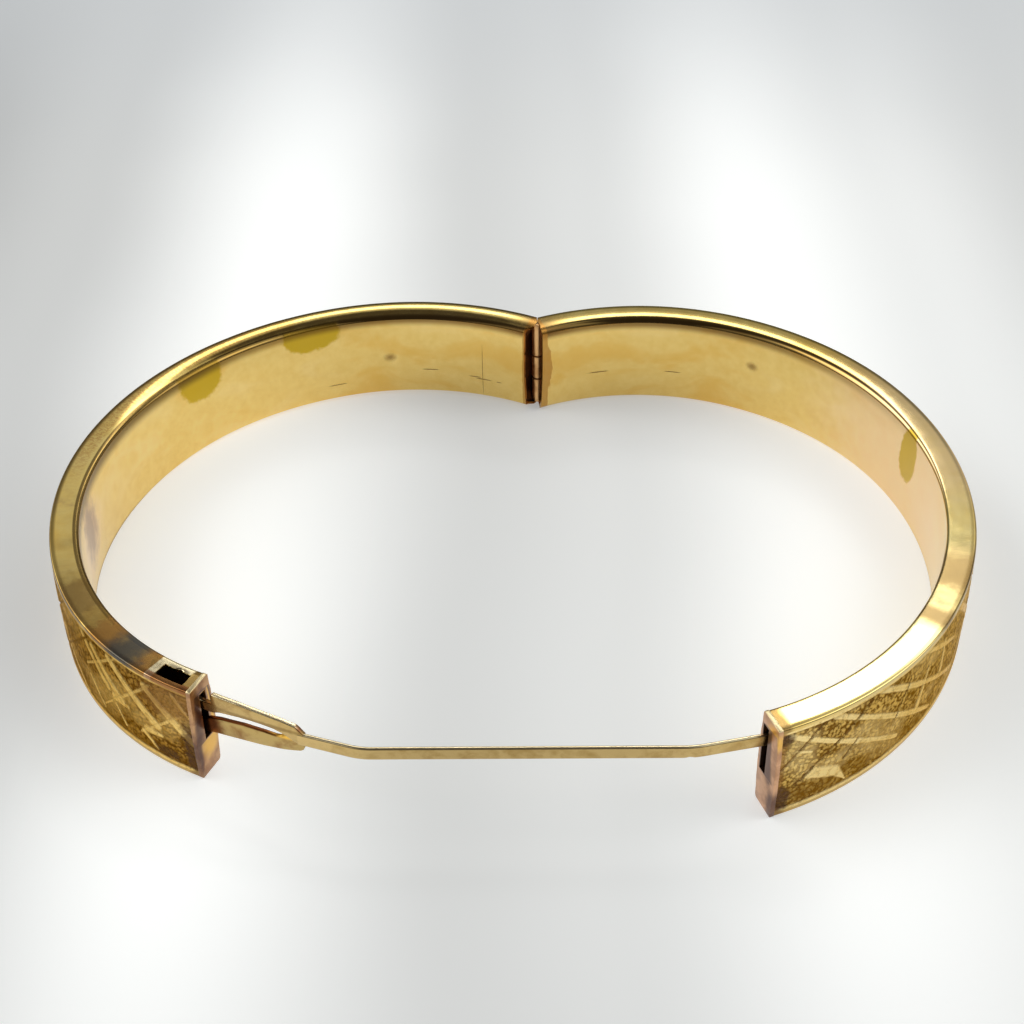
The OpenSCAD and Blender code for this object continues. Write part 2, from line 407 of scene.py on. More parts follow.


# Marks on the linings and rims, stains and some painted sheen and highlight, in mm: the place along
# and across the band, half the length and height, softness, raggedness and lean. Rims lie at the
# height of the band.
LINING_MARKS = {
    "left": {
        "patch": [(55.7, 8.75, 2.9, 2.5, 0.09, 0.5), (69.7, 9.1, 3.4, 2, 0.09, 0.5)],
        "pink_and_sheen": [(30.5, 5.6, 4.2, 3, 0.5, 0.6)],
        "smudge": [(31, 6.2, 2.4, 3, 0.6, 1.4)],
        "line": [(89.6, 3.6, 0.035, 3.1, 0.2, 0.5), (89.7, 2.65, 0.9, 0.06, 0.3, 0.6, 4),
                 (88.7, 2.85, 0.7, 0.05, 0.3, 0.6), (91.6, 2.6, 0.3, 0.04, 0.3, 0.6),
                 (83.4, 3.3, 0.9, 0.05, 0.3, 0.8), (72.4, 2.2, 1, 0.05, 0.3, 0.8)],
        "brown": [(78.75, 4.9, 0.5, 0.35, 0.9, 0.9), (8.6, BAND, 4, 1.2, 0.3, 1.8),
                  (16.5, BAND, 2.6, 1.2, 0.6, 2.2), (0.5, BAND, 0.7, 60, 0.5, 0.8)],
        "slate": [(7.9, BAND, 1.7, 0.9, 0.7, 2.2)],
        "rust": [(10.9, BAND, 1.5, 1.4, 0.5, 2.4), (5.3, BAND, 1, 1.4, 0.5, 1.6)],
        "solder": [(LEFT.total - 0.3, MID, 0.55, 60, 0.1, 0.5)],
        "lip": [(2.7, BAND, 1.7, 3, 0.1, 0.5)],
        "strip": [(4.35, BAND, 0.35, 3, 0.2, 0.4)],
        "burnt": [(2.5, BAND, 2.2, 3, 0.2, 0.8)]},
    "right": {
        "patch": [(48.3, 7.3, 1.7, 3, 0.09, 0.5)],
        "pink_and_sheen": [(47.7, 9.3, 1.6, 0.9, 0.4, 0.8), (44, 6, 7, 6, 0.6, 0.6), (52, 5, 9, 9, 0.8, 0.6)],
        "highlight_pale": [(20, BAND, 15, 1.2, 0.5, 0.8)],
        "line": [(90.4, 3.75, 1.1, 0.07, 0.3, 0.8, 5), (81.6, 3.7, 0.9, 0.05, 0.3, 0.8)],
        "brown": [(27, 9.9, 3, 0.8, 0.6, 0.8), (20.5, 9.9, 1.2, 0.7, 0.6, 0.8),
                  (72.3, 6.25, 0.5, 0.35, 0.9, 0.9), (0.5, BAND, 0.7, 60, 0.5, 0.8)],
        "solder": [(RIGHT.total, MID, 0.4, 60, 0.1, 0.5), (RIGHT.total, 5.3, 0.9, 2.9, 0.05, 0.7)]}}
# How far the rims' outer edges are darkened with painted shade, and to which colour
RIM_EDGE_SHADES = {"left": (0.85, (0.22, 0.14, 0.035)), "right": (0.55, (0.36, 0.25, 0.06))}


def lining_material(half):
    tree = Tree(half.name + "_band_metal")
    _, middle, normal = common_metal(tree, 0.012, 0.0008)
    place = tree.attribute("place", "Vector")
    marks = tree.masks(place, 0.9, LINING_MARKS[half.name])
    along, height, depth = tree.apart(place)
    cloud = tree.noise(place, 0.11, 3, 0.55, 0.6, (1, 2.2, 1))
    colour = tree.mix(tree.map(middle, 0.2, 0.8), (0.82, 0.56, 0.165), (0.88, 0.64, 0.22))
    colour = tree.mix(tree.map(cloud, 0.5, 0.68, 0, 0.55), colour, (0.8, 0.47, 0.09))
    colour = tree.mix(tree.map(cloud, 0.45, 0.3, 0, 0.25), colour, (0.92, 0.72, 0.34))
    rough = tree.map(middle, 0.2, 0.8, 0.07, 0.11)
    # The plain inner face is duller and paler than the polished rims
    inner_face = tree.map(depth, LINING_DEPTH - 0.15, LINING_DEPTH)
    rough = tree.math("MULTIPLY_ADD", inner_face, 0.12, rough)
    # Painted highlight: the right rim paler where its highlight falls, near the clasp
    if half is RIGHT:
        colour = tree.stain_or_light(colour, (0.88, 0.72, 0.36), marks["highlight_pale"], 0.7)
    # Painted shade: the outer edge darker along the bottom, where the band meets the floor
    lower_outer_shade = tree.times(tree.map(depth, 0.3, 0.1), tree.map(height, 1, 0.6, 0, 0.6))
    colour = tree.mix(lower_outer_shade, colour, (0.34, 0.2, 0.06))
    # Painted shade along the upper rims' outer edges
    most_edge_shade, edge_shade_tint = RIM_EDGE_SHADES[half.name]
    wear_and_shade = tree.times(tree.map(depth, 0.6, 0.3, 0, most_edge_shade),
                      tree.map(height, BAND - 0.5, BAND - 0.2), tree.map(along, 14, 26, 0.5, 1))
    colour = tree.mix(wear_and_shade, colour, edge_shade_tint)
    # Pale pink: on the right lining a painted sheen where it reflects the bright floor, on the left a
    # pink spot
    colour = tree.stain_or_light(colour, PINK, marks["pink_and_sheen"], 0.6)
    if half is LEFT:
        colour = tree.stain_or_light(colour, (0.26, 0.145, 0.095), marks["smudge"], 0.75)
        mottled = tree.noise(place, 3.5, 3, 0.7, 0.8, (1, 1, 0.6))
        mottled = tree.times(tree.map(mottled, 0.4, 0.6, 0.2, 0.85), tree.map(along, 30, 42),
                             tree.map(depth, RIM_FLAT, RIM_FLAT - 0.5), tree.map(along, 80, 60))
        colour = tree.mix(mottled, colour, (0.56, 0.31, 0.09))
    patch = tree.times(marks["patch"], tree.map(depth, RIM_FLAT, RIM_FLAT + 0.5))
    colour = tree.stain_or_light(colour, OLIVE, patch, 0.92)
    # A brown seam line under the rims, darkened further as painted shade for the dark band that the turn
    # shows there
    seam_and_dark_band = tree.times(tree.map(depth, RIM_FLAT - 0.1, RIM_FLAT + 0.45),
                      tree.map(height, BAND - LINING_TURN - 0.8, BAND - LINING_TURN),
                      tree.map(along, half.total - 55, half.total - 20))
    colour = tree.stain_or_light(colour, (0.16, 0.075, 0.02), seam_and_dark_band, 0.8)
    # Painted contact shade: the lining darker along its bottom edge, at the floor
    bottom_contact_shade = tree.times(inner_face, tree.map(height, 0.55, 0.2))
    near_hinge = tree.times(tree.map(along, half.total - 4.5, half.total),
                            tree.map(height, BAND - 1.1, BAND - 0.5))
    # Brown marks, the painted contact shade, and a darker top near the hinge
    brown = tree.most([marks["brown"], bottom_contact_shade, near_hinge])
    colour = tree.stain_or_light(colour, BROWN, brown, 0.7)
    colour = tree.stain_or_light(colour, COPPER, marks["solder"], 0.75)
    if half is LEFT:
        # Painted shade: the left rim's turn into the lining darkened, so that it shows no highlight
        turn = tree.times(tree.map(depth, RIM_FLAT + 0.03, RIM_FLAT + 0.15),
                          tree.map(height, BAND - 1.7, BAND - 0.5),
                          tree.map(along, 68, 54, 0, 0.85))
        colour = tree.mix(turn, colour, (0.15, 0.085, 0.02))
        rough = tree.math("MULTIPLY_ADD", turn, 0.06, rough)
        colour = tree.stain_or_light(colour, (0.4, 0.19, 0.045), marks["rust"], 0.75)
        colour = tree.stain_or_light(colour, SLATE, marks["slate"], 0.85)
    colour = tree.stain_or_light(colour, BROWN, marks["line"], 0.75)
    dull = marks["solder"]
    if half is LEFT:
        # Round the cut in the rim: a bright lip and strip, and burnt metal on its outer side
        lip = tree.times(marks["lip"], tree.map(depth, 1.8, 1.86))
        colour = tree.mix(tree.most([lip, marks["strip"]]), colour, (0.95, 0.8, 0.5))
        dull = tree.times(marks["burnt"], tree.map(depth, 0.62, 0.5))
        colour = tree.stain_or_light(colour, (0.34, 0.12, 0.04), dull, 0.8)
    rough = tree.math("MULTIPLY_ADD", patch, 0.1, rough)
    rough = tree.math("MULTIPLY_ADD", tree.most([brown, dull]), 0.15, rough)
    deep = tree.math("SUBTRACT", tree.times(patch, 0.3), marks["line"])
    return tree.metal(colour, rough, tree.bump(deep, 0.02, normal))


# Colours of the engraved walls: the ground's gaps and grains, and the polished bands
WALL_TINTS = {"left": ((0.12, 0.05, 0.012), (0.49, 0.27, 0.065), (0.94, 0.67, 0.24)),
              "right": ((0.2, 0.095, 0.02), (0.72, 0.48, 0.14), (0.92, 0.72, 0.33))}
PIT_AND_SHADOW_TINT = (0.17, 0.075, 0.015)
BURNT_TINT = (0.085, 0.045, 0.035)
EDGE_TINT = (0.92, 0.68, 0.36)
# Burnt metal and a brown veil on the walls next to the plates, as in the linings' marks
WALL_MARKS = {
    "left": {"burnt": [(0.6, 3.2, 0.9, 3, 0.3, 1.4), (3.4, 1.5, 1.4, 0.6, 0.5, 1)],
             "veil": [(1.6, 8.3, 3.6, 2.2, 0.4, 1, 0.6)]},
    "right": {"burnt": [(0.9, 1.9, 0.75, 1.5, 0.3, 1), (0.8, 8.7, 0.7, 0.55, 0.4, 1)],
              "veil": [(0.3, MID, 0.5, 9, 0.5, 1.2)]}}


def wall_material(half):
    tree = Tree(half.name + "_engraved_metal")
    place, _, normal = common_metal(tree, 0.01, 0.0015)
    on_wall = tree.attribute("place", "Vector")
    marks = tree.masks(on_wall, 1.1, WALL_MARKS[half.name])
    height = tree.apart(on_wall)[1]
    polish = tree.attribute("polish")
    gaps, grains, bands = WALL_TINTS[half.name]
    # Stippled ground: small uneven grains of about 0.4 mm with dark gaps
    cells = tree.node("TexVoronoi", {"Vector": place, "Scale": 2700}, feature="F1").outputs[0]
    grain = tree.map(tree.math("MULTIPLY_ADD", tree.noise(place, 4200, 4, 0.7), 0.9, cells), 1.2, 0.8)
    lower = tree.map(height, 6.5, 1.5, 0, 0.16)
    mottle = tree.math("SUBTRACT", tree.noise(place, 650, 3, 0.6), lower)
    grain = tree.times(grain, tree.map(mottle, 0.25, 0.5, 0.35, 1))
    colour = tree.mix(grain, gaps, grains)
    wear_and_shade = tree.map(tree.noise(place, 1500, 4, 0.7), 0.3, 0.55, 0.45, 0.95)
    colour = tree.stain_or_light(colour, bands, polish, wear_and_shade)
    colour = tree.stain_or_light(colour, PIT_AND_SHADOW_TINT, tree.attribute("pit"), 0.75)
    # Painted shade: darker along the bottom edge, next to the floor
    colour = tree.mix(tree.map(height, 0.55, 0.3, 0, 0.7), colour, (0.42, 0.26, 0.09))
    colour = tree.stain_or_light(colour, (0.32, 0.16, 0.055), marks["veil"], 0.8)
    colour = tree.stain_or_light(colour, BURNT_TINT, marks["burnt"], 0.85)
    rough = tree.node("Mix", {0: polish, 2: 0.38, 3: 0.22}).outputs[0]
    raised = tree.times(grain, tree.math("SUBTRACT", 1, polish))
    return tree.metal(colour, rough, tree.bump(raised, 0.1, normal), EDGE_TINT)


# The end plates: two colours of the metal, darker spots, and a painted yellow glow of reflected light,
# given as in the linings' marks
PLATE_TINTS = {"left": ((0.34, 0.17, 0.085), (0.54, 0.31, 0.15)),
               "right": ((0.46, 0.25, 0.14), (0.66, 0.38, 0.22))}
PLATE_MARKS = {
    "left": {"glow": [(1.7, 2.9, 1, 1.3, 0.5, 0.8)],
             "dark_spots": [(1.4, 6.2, 0.8, 2.8, 0.35, 1), (0.1, 3, 0.35, 2.6, 0.5, 1)]},
    "right": {"glow": [(0.6, 8.7, 1.1, 0.9, 0.5, 0.8)],
              "dark_spots": [(1, 6, 0.7, 2.8, 0.3, 1), (0.1, 1.2, 0.7, 1.6, 0.5, 1)]}}


def plate_material(half):
    tree = Tree(half.name + "_end_plate_metal")
    place, _, normal = common_metal(tree, 0.03, 0.003)
    across = tree.attribute("place", "Vector")
    marks = tree.masks(across, 1.1, PLATE_MARKS[half.name])
    cloud = tree.noise(place, 700, 4, 0.6, 0.4)
    colour = tree.mix(tree.map(cloud, 0.35, 0.65), *PLATE_TINTS[half.name])
    colour = tree.stain_or_light(colour, (0.055, 0.03, 0.035), marks["dark_spots"], 0.75)
    colour = tree.stain_or_light(colour, (0.86, 0.5, 0.1), marks["glow"], 0.85)
    # Painted highlight: a pale strip along the plate's top edge
    top = tree.map(tree.apart(across)[1], BAND - 0.16, BAND - 0.04)
    colour = tree.mix(top, colour, (0.92, 0.74, 0.42))
    return tree.metal(colour, 0.32, tree.bump(cloud, 0.04, normal))


def strip_material(name, bright, dull, rough, spots=(), top=None):
    tree = Tree(name)
    place, _, normal = common_metal(tree, 0.015, 0.002)
    cloud = tree.noise(place, 600, 4, 0.6, 0.3)
    colour = tree.mix(tree.map(cloud, 0.42, 0.72), bright, dull)
    # Upward faces turn towards the given colour: a painted highlight on the leaf and the bar, rust on the
    # tongue
    if top:
        upward = tree.apart(tree.node("NewGeometry").outputs["Normal"])[2]
        colour = tree.mix(tree.map(upward, 0.35, 0.8), colour, top)
    if spots:
        place = tree.attribute("place", "Vector")
        ragged = tree.ragged(place, 2.2, 3)
    for u, z, long, tall, lean, tint in spots:
        colour = tree.stain_or_light(colour, tint, tree.spot(place, ragged, u, z, long, tall, 0.5, 0.7, lean), 0.9)
    return tree.metal(colour, rough, normal)


# Inside of the hollow sheet and the faces cut through it, near black as painted shade
def dark_material():
    tree = Tree("hollow_inside")
    _, middle, normal = common_metal(tree, 0.03, 0.003)
    colour = tree.mix(tree.map(middle, 0.4, 0.7), (0.05, 0.03, 0.015), (0.12, 0.05, 0.025))
    return tree.metal(colour, 0.6, normal)


INSIDE = dark_material()
# Stains of the tongue and the leaf, and a painted shadow line along the leaf's lower edge: place along
# it, height, half length, half height, lean and colour
TONGUE_SPOTS = [(7.1, 6.85, 1.2, 0.28, 0, ORANGE), (0.3, 5.3, 1.2, 1.6, 0, RUST)]
LEAF_SPOTS = [(9.05, 8.1, 0.32, 0.5, 0.8, RUST), (0.6, 7.6, 0.9, 1.2, 0, (0.3, 0.17, 0.05)),
              (5.5, 7.75, 4.5, 0.22, 0, (0.3, 0.19, 0.06))]
# Each with its bright and its dull colour, its roughness, its stains and the colour of its upper side:
# rust on the tongue, a painted highlight on the leaf and the bar
TONGUE_METAL = strip_material("tongue_metal", (0.5, 0.35, 0.125), (0.3, 0.16, 0.05), 0.28,
                              TONGUE_SPOTS, RUST)
LEAF_METAL = strip_material("leaf_metal", (0.56, 0.39, 0.15), (0.38, 0.23, 0.08), 0.26,
                            LEAF_SPOTS, HIGHLIGHT_CREAM)
BAR_METAL = strip_material("bar_metal", (0.62, 0.44, 0.18), (0.46, 0.3, 0.1), 0.24, (), HIGHLIGHT_CREAM)
KNUCKLE_METAL = strip_material("knuckle_metal", (0.9, 0.54, 0.24), (0.55, 0.28, 0.11), 0.36)
# Near black: painted shade for the hinge blocks deep in the gap between the halves
BLOCK_METAL = strip_material("block_metal", (0.16, 0.07, 0.03), (0.07, 0.03, 0.015), 0.5)
PIN_METAL = strip_material("pin_metal", (0.5, 0.32, 0.15), (0.25, 0.13, 0.06), 0.4)


def arc_points(centre, r, start, end, steps):
    angles = np.radians(np.linspace(start, end, steps + 1))
    return [(centre[0] + r * cos(a), centre[1] + r * sin(a)) for a in angles]


# Section of the rims and the lining
def dome(z):
    return -WALL_DOME * (1 - ((z - MID) / (MID - CORNER)) ** 2)


def bulge(z):
    return LINING_BULGE * np.maximum(0, 1 - ((z - MID) / (MID - LINING_TURN)) ** 2)


# Far from the clasp the rims are slightly crowned and turn into the lining in a wide curve; near
# it they are flat, and the turn is narrow
CROWN = {"left": (0.5, 0.21), "right": (1, 0.06), "flat": (1, 0.01)}
TURN = {"left": LINING_TURN, "right": LINING_TURN, "flat": 0.28}
EDGE_FALL = 0.02
EDGE_WIDE = 0.5
CROWNED = {"left": (36, 60), "right": (30, 60)}
RIM_STEPS = 12
# The channel's upper edge, just behind the engraved wall's
LIP = FIELD_TO - 0.03


def rim_depths(name):
    return np.linspace(CORNER, LINING_DEPTH - TURN[name], RIM_STEPS + 1)


def crown(depth, name):
    start, drop = CROWN[name]
    inner = drop * np.maximum(0, (depth - start) / (LINING_DEPTH - TURN[name] - start)) ** 2
    return inner + EDGE_FALL * np.maximum(0, (EDGE_WIDE - depth) / (EDGE_WIDE - CORNER)) ** 2


def upper_half_section(name):
    points = [(dome(z), z) for z in (LIP, (LIP + BAND - CORNER) / 2)]
    begin = crown(CORNER, name)
    for k in range(4):
        a = radians(90 * k / 4)
        points.append((CORNER * (1 - cos(a)), BAND - CORNER + (CORNER - begin) * sin(a)))
    points += [(d, BAND - crown(d, name)) for d in rim_depths(name)]
    at, drop = CROWN[name]
    turn = TURN[name]
    rim_flat = LINING_DEPTH - turn
    first = atan2(2 * drop / (rim_flat - at), 1)
    wide = turn / (1 - sin(first))
    tall = (turn - drop) / cos(first)
    for k in range(1, 11):
        a = first + (pi / 2 - first) * k / 10
        z = BAND - drop - tall * (cos(first) - cos(a))
        points.append((rim_flat + wide * (sin(a) - sin(first)), z))
    return points + [(LINING_DEPTH + bulge(z), z) for z in np.linspace(BAND - turn, MID, 12)[1:]]


def channel_section(name):
    upper = upper_half_section(name)
    lower = [(d, BAND - z) for d, z in upper[:-1]]
    outer = lower + upper[::-1]
    inner = [(SHEET, LIP)]
    inner += [(d, BAND - SHEET - crown(d, name)) for d in rim_depths(name)[2:]]
    inner += [(LINING_DEPTH - SHEET, BAND - LINING_TURN - SHEET / 2),
              (LINING_DEPTH + LINING_BULGE - SHEET, MID)]
    inner += [(d, BAND - z) for d, z in inner[-2::-1]]
    return np.array(outer), np.array(inner)


# Dents in the linings: place along and across, length, height and depth
DENTS = {"left": [(78.75, 4.85, 0.9, 0.7, 0.05), (12, 7, 1.5, 1.2, 0.03), (45, 3.5, 2, 1.2, 0.02)],
         "right": [(72.3, 6.2, 0.9, 0.7, 0.05), (35, 4, 1.5, 1, 0.03), (60, 4.5, 2.2, 1, 0.02)]}


# The cut in the left half's upper rim, for pressing the catch: its start and end along the band,
# the rings that stand there, and the columns of the rim that it lies between
NOTCH = (1.05, 3.95)
NOTCH_RINGS = np.arange(4, 19)
NOTCH_COLUMNS = np.arange(2, 10)


# Leaves the cut's faces out, makes its edges ragged, and gives the faces through the sheet
def open_notch(keep, s, d, z, count):
    across = d.shape[1]
    # Six points of the section come before its rim
    rim = count - 7 - NOTCH_COLUMNS
    back = count - 1 + NOTCH_COLUMNS
    first, last = NOTCH_RINGS[[0, -1]]
    keep[first:last, rim[-1]:rim[0]] = False
    keep[first:last, back[0]:back[-1]] = False
    ragged = 0.07 * (hashed(NOTCH_RINGS, 3, 5) - 0.5)
    broken = 0.18 * np.exp(-((NOTCH_RINGS - 10) / 1.6) ** 2)
    for column in (rim[-1], back[-1]):
        d[NOTCH_RINGS, column] += ragged + broken
        z[NOTCH_RINGS, column] -= 0.4 * broken
    for column in (rim[0], back[0]):
        d[NOTCH_RINGS, column] += 0.5 * ragged[::-1]
    for ring in (first, last):
        s[ring, rim] += 0.06 * (hashed(rim, ring, 9) - 0.5)
    walls = []
    a, b = first * across, last * across
    for r0, r1, b0, b1 in zip(rim[:-1], rim[1:], back[:-1], back[1:]):
        walls += [(a + r0, a + r1, a + b1, a + b0), (b + r0, b + b0, b + b1, b + r1)]
    for ring in NOTCH_RINGS[:-1] * across:
        for r, b in ((rim[0], back[0]), (rim[-1], back[-1])):
            walls.append((ring + r, ring + across + r, ring + across + b, ring + b))
    return walls


# The lining's sheet ends a little short of the hinge on the left and passes it on the right,
# and its end leans
END_SHIFT = {"left": -0.6, "right": 0.3}
END_LEAN = 0.08


def end_shift(half, depth, z):
    inner = ramp(depth, 1.5, 2.2)
    return END_SHIFT[half.name] * inner + END_LEAN * inner * (MID - z) / MID


# Over this length before the hinge a half's surfaces ease into their cut ends
END_EASE = 1.5


def make_channel(half):
    outer, inner = channel_section(half.name)
    section = np.concatenate([outer, inner])
    flat = np.concatenate(channel_section("flat"))
    across = len(section)
    count = len(outer)
    coarse = 0.27
    s = [np.linspace(PLATE * 0.6, NOTCH[0], NOTCH_RINGS[0] + 1)[:-1]]
    s.append(np.linspace(*NOTCH, len(NOTCH_RINGS))[:-1])
    s.append(np.linspace(NOTCH[1], half.total, int((half.total - NOTCH[1]) / coarse)))
    s = np.concatenate(s)[:, None]
    rings = len(s)
    ease = np.maximum(0, 1 - (half.total - s) / END_EASE)
    crowned = ramp(s, *CROWNED[half.name])
    d, z = (flat[:, k] + (section - flat)[:, k] * crowned for k in (0, 1))
    inside = d
    level = z
    s = s - half.cut_back(section[:, 0]) * ease
    s = s + end_shift(half, section[:, 0], z) * ease
    is_lining = (np.arange(across) < count) & (section[:, 0] > LINING_DEPTH - 0.3)
    for place, height, long, tall, deep in DENTS[half.name]:
        hit = np.exp(-((s - place) / long) ** 2 * 2 - ((z - height) / tall) ** 2 * 2)
        d = d - deep * hit * is_lining
    wave = 0.01 * soft_noise(s / 6, z / 9, 3) + 0.005 * soft_noise(s / 1.7, z / 3, 5)
    z = z + wave * (section[:, 1] > BAND - 0.5)
    d = d + wave * is_lining

    faces = ring_faces(rings, across)
    keep = np.ones(faces.shape[:2], bool)
    walls = open_notch(keep, s, d, z, count) if half is LEFT else []
    quads = faces[keep].tolist()
    column = np.nonzero(keep)[1]
    index = ((column >= count) & (column < across - 1)).astype(np.int32)
    points = half.at(s, d, z)
    everything = quads + walls + ring_caps(rings, across)
    thing = new_object(half.name + "_lining", points.reshape(-1, 3), everything, lining_material(half))
    thing.data.materials.append(INSIDE)
    index = np.concatenate([index, np.zeros(len(walls) + 2, np.int32)])
    thing.data.polygons.foreach_set("material_index", index)
    outwards(thing)
    put_values(thing, "place", np.stack([s, level, inside], -1).reshape(-1, 3))
    return smoothed(thing, 50)


# The engraving next to the clasp: cut lines, raised ridges, bright bands and leaves, each from one
# place along and across the band to another, with half its width at both ends
STROKES = {
    "left": {
        "line": [],
        "ridge": [(8.25, 9.5, 13.6, 5.4, 0.1, 0.08), (4.4, 8.7, 9.6, 3.9, 0.11, 0.09),
                  (1.3, 6.8, 6.3, 2.4, 0.1, 0.08), (9.8, 3.7, 11.4, 2.2, 0.07, 0.05)],
        "band": [(9.4, 8.9, 4.2, 4.3, 0.42, 0.55), (5, 8.4, 0.4, 4.1, 0.4, 0.5),
                 (12, 8.5, 8.4, 4.6, 0.34, 0.5), (14, 9.3, 10.2, 5, 0.3, 0.38)],
        "leaf": [(9.6, 4.1, 8.4, 1.7, 0.22, 0.16), (13.2, 4.2, 11.6, 1.6, 0.26, 0.12),
                 (5.9, 2.7, 4.6, 1.3, 0.3, 0.16), (9.3, 4.5, 7.6, 4.4, 0.5, 0.2),
                 (5.4, 3.2, 3.8, 3.3, 0.45, 0.2), (1.9, 8.9, 0.5, 7, 0.3, 0.18)]},
    "right": {
        "line": [(0.4, 5.3, 4.3, 9.3, 0.11, 0.09), (2, 3.2, 9.8, 9.5, 0.13, 0.08),
                 (6.7, 3.9, 8.1, 5.5, 0.1, 0.06), (12.6, 4.6, 14.3, 8.2, 0.07, 0.05)],
        "band": [(1.2, 9, 13.3, 2.2, 0.32, 0.24), (5.4, 9.4, 18.6, 1.6, 0.34, 0.26),
                 (10, 9.6, 23.2, 2.5, 0.36, 0.28), (16.6, 9.5, 22.4, 6.6, 0.34, 0.24)],
        "leaf": [(17.1, 7.2, 15.9, 3.2, 0.22, 0.36), (20.1, 8.3, 19.9, 4.9, 0.16, 0.34),
                 (3.4, 3.9, 5.9, 2.9, 0.62, 0.62), (5.9, 2.9, 7.2, 1.2, 0.5, 0.1),
                 (1.9, 7, 3.2, 6.5, 0.18, 0.1)]}}
# Beyond that the lattice: where it starts, its spacing and the direction that its cut lines lean
LATTICE = {"left": (14.5, 5.3, 1), "right": (23, 5, -1)}


# All strokes of a half; round the band the lattice goes on with a hand's small unevenness
def all_strokes(half):
    strokes = {kind: list(rows) for kind, rows in STROKES[half.name].items()}
    start, spacing, sign = LATTICE[half.name]
    for k in range(int((half.total - start) / spacing) + 2):
        shake = [float(hashed(k, i, 11 + sign)) - 0.5 for i in range(6)]
        middle = start + spacing * (k + 0.5) + 0.5 * shake[0]
        lean = sign * (5 + 0.4 * shake[1])
        strokes["line"].append((middle - lean, 9.4, middle + lean, 0.9, 0.1, 0.08))
        middle += spacing / 2 + 0.4 * shake[2]
        lean = sign * (4.6 + 0.4 * shake[3])
        strokes["band"].append((middle + lean, 9.4, middle - lean, 0.9, 0.42, 0.36))
        strokes["leaf"].append((middle - 0.7, 5.2 + shake[4], middle + 0.9, 4.4 + shake[4], 0.5, 0.2))
    return strokes


# How deep the stippled ground lies, and how deep the cuts go
GROUND_DEEP = 0.045
GROOVE_DEEP = 0.085
EDGE_DEEP = 0.035
BORDER_DEEP = 0.05


# Height of the engraved wall above its plain surface, how far it is polished, and how dark its
# pits and cuts are, with painted shadow on one side of each ridge
def relief(half, s, z):
    s, z = np.broadcast_arrays(s, z)
    wander = 0.1 * soft_noise(s / 1.3, z / 1.3, 21)
    polish, groove, edge = np.zeros((3, *s.shape))
    for kind, rows in all_strokes(half).items():
        for a, b, c, d, w0, w1 in rows:
            along = np.clip(((s - a) * (c - a) + (z - b) * (d - b)) / ((c - a) ** 2 + (d - b) ** 2), 0, 1)
            away = np.hypot(s - a - along * (c - a), z - b - along * (d - b))
            width = w0 + (w1 - w0) * along
            if kind == "line":
                groove = np.maximum(groove, 1 - ramp(away, width * 0.4, width * 1.7))
            elif kind == "ridge":
                ratio = (away + 0.4 * wander) / (1.5 * width)
                beside = (s - a) * (d - b) - (z - b) * (c - a)
                polish = np.maximum(polish, 0.8 * (1 - ramp(ratio, 0.7, 1.25)))
                # Painted shadow: the ridge's outline darker on one side
                shaded = 0.25 + 0.75 * (beside * (c - a) * (d - b) > 0)
                edge = np.maximum(edge, shaded * np.exp(-((ratio - 1.5) / 0.45) ** 2))
            else:
                ratio = (away + wander) / width
                polish = np.maximum(polish, 1 - ramp(ratio, 0.6, 1.25))
                edge = np.maximum(edge, np.exp(-((ratio - 1.1) / 0.16) ** 2))
                if kind == "band":
                    edge = np.maximum(edge, 0.4 * np.exp(-(ratio / 0.16) ** 2))
    # Plain strips along both edges, each with a cut line beside it
    border = np.maximum(1 - ramp(z, 0.72, 0.82), ramp(z, 9.3, 9.38))
    border_line = np.exp(-((z - 0.92) / 0.1) ** 2) + np.exp(-((z - 9.22) / 0.08) ** 2)
    polish = np.maximum(polish * (1 - groove), border)
    grains = cell_distance(s / 0.3, z / 0.3, 31)
    grains = 0.6 * (1 - grains) + 0.4 * soft_noise(s / 0.22, z / 0.22, 33)
    mottle = soft_noise(s / 1.1, z / 0.9, 41) + 0.5 * soft_noise(s / 0.5, z / 0.5, 43)
    lower = ramp(z, 5, 1.2)
    ground = -GROUND_DEEP + 0.07 * (grains - 0.4) * (0.7 + 0.5 * lower) + 0.02 * mottle
    height = ground * (1 - polish) + polish * 0.008 * soft_noise(s / 0.9, z / 0.9, 51)
    inner = 1 - border
    height = height - GROOVE_DEEP * groove * inner - EDGE_DEEP * edge * inner - BORDER_DEEP * border_line
    pit = np.clip(1.6 * groove * inner + 0.5 * border_line + 0.35 * edge, 0, 1)
    pit = np.maximum(pit, (1 - polish) * np.clip(0.35 + 1.3 * mottle - 1.4 * (grains - 0.35), 0, 1) * 0.5)
    wear_and_shade = np.clip(0.15 + 1.2 * soft_noise(s / 2.6, z / 2, 61), 0, 0.5)
    return height, np.clip(polish + wear_and_shade * (1 - polish), 0, 1), pit


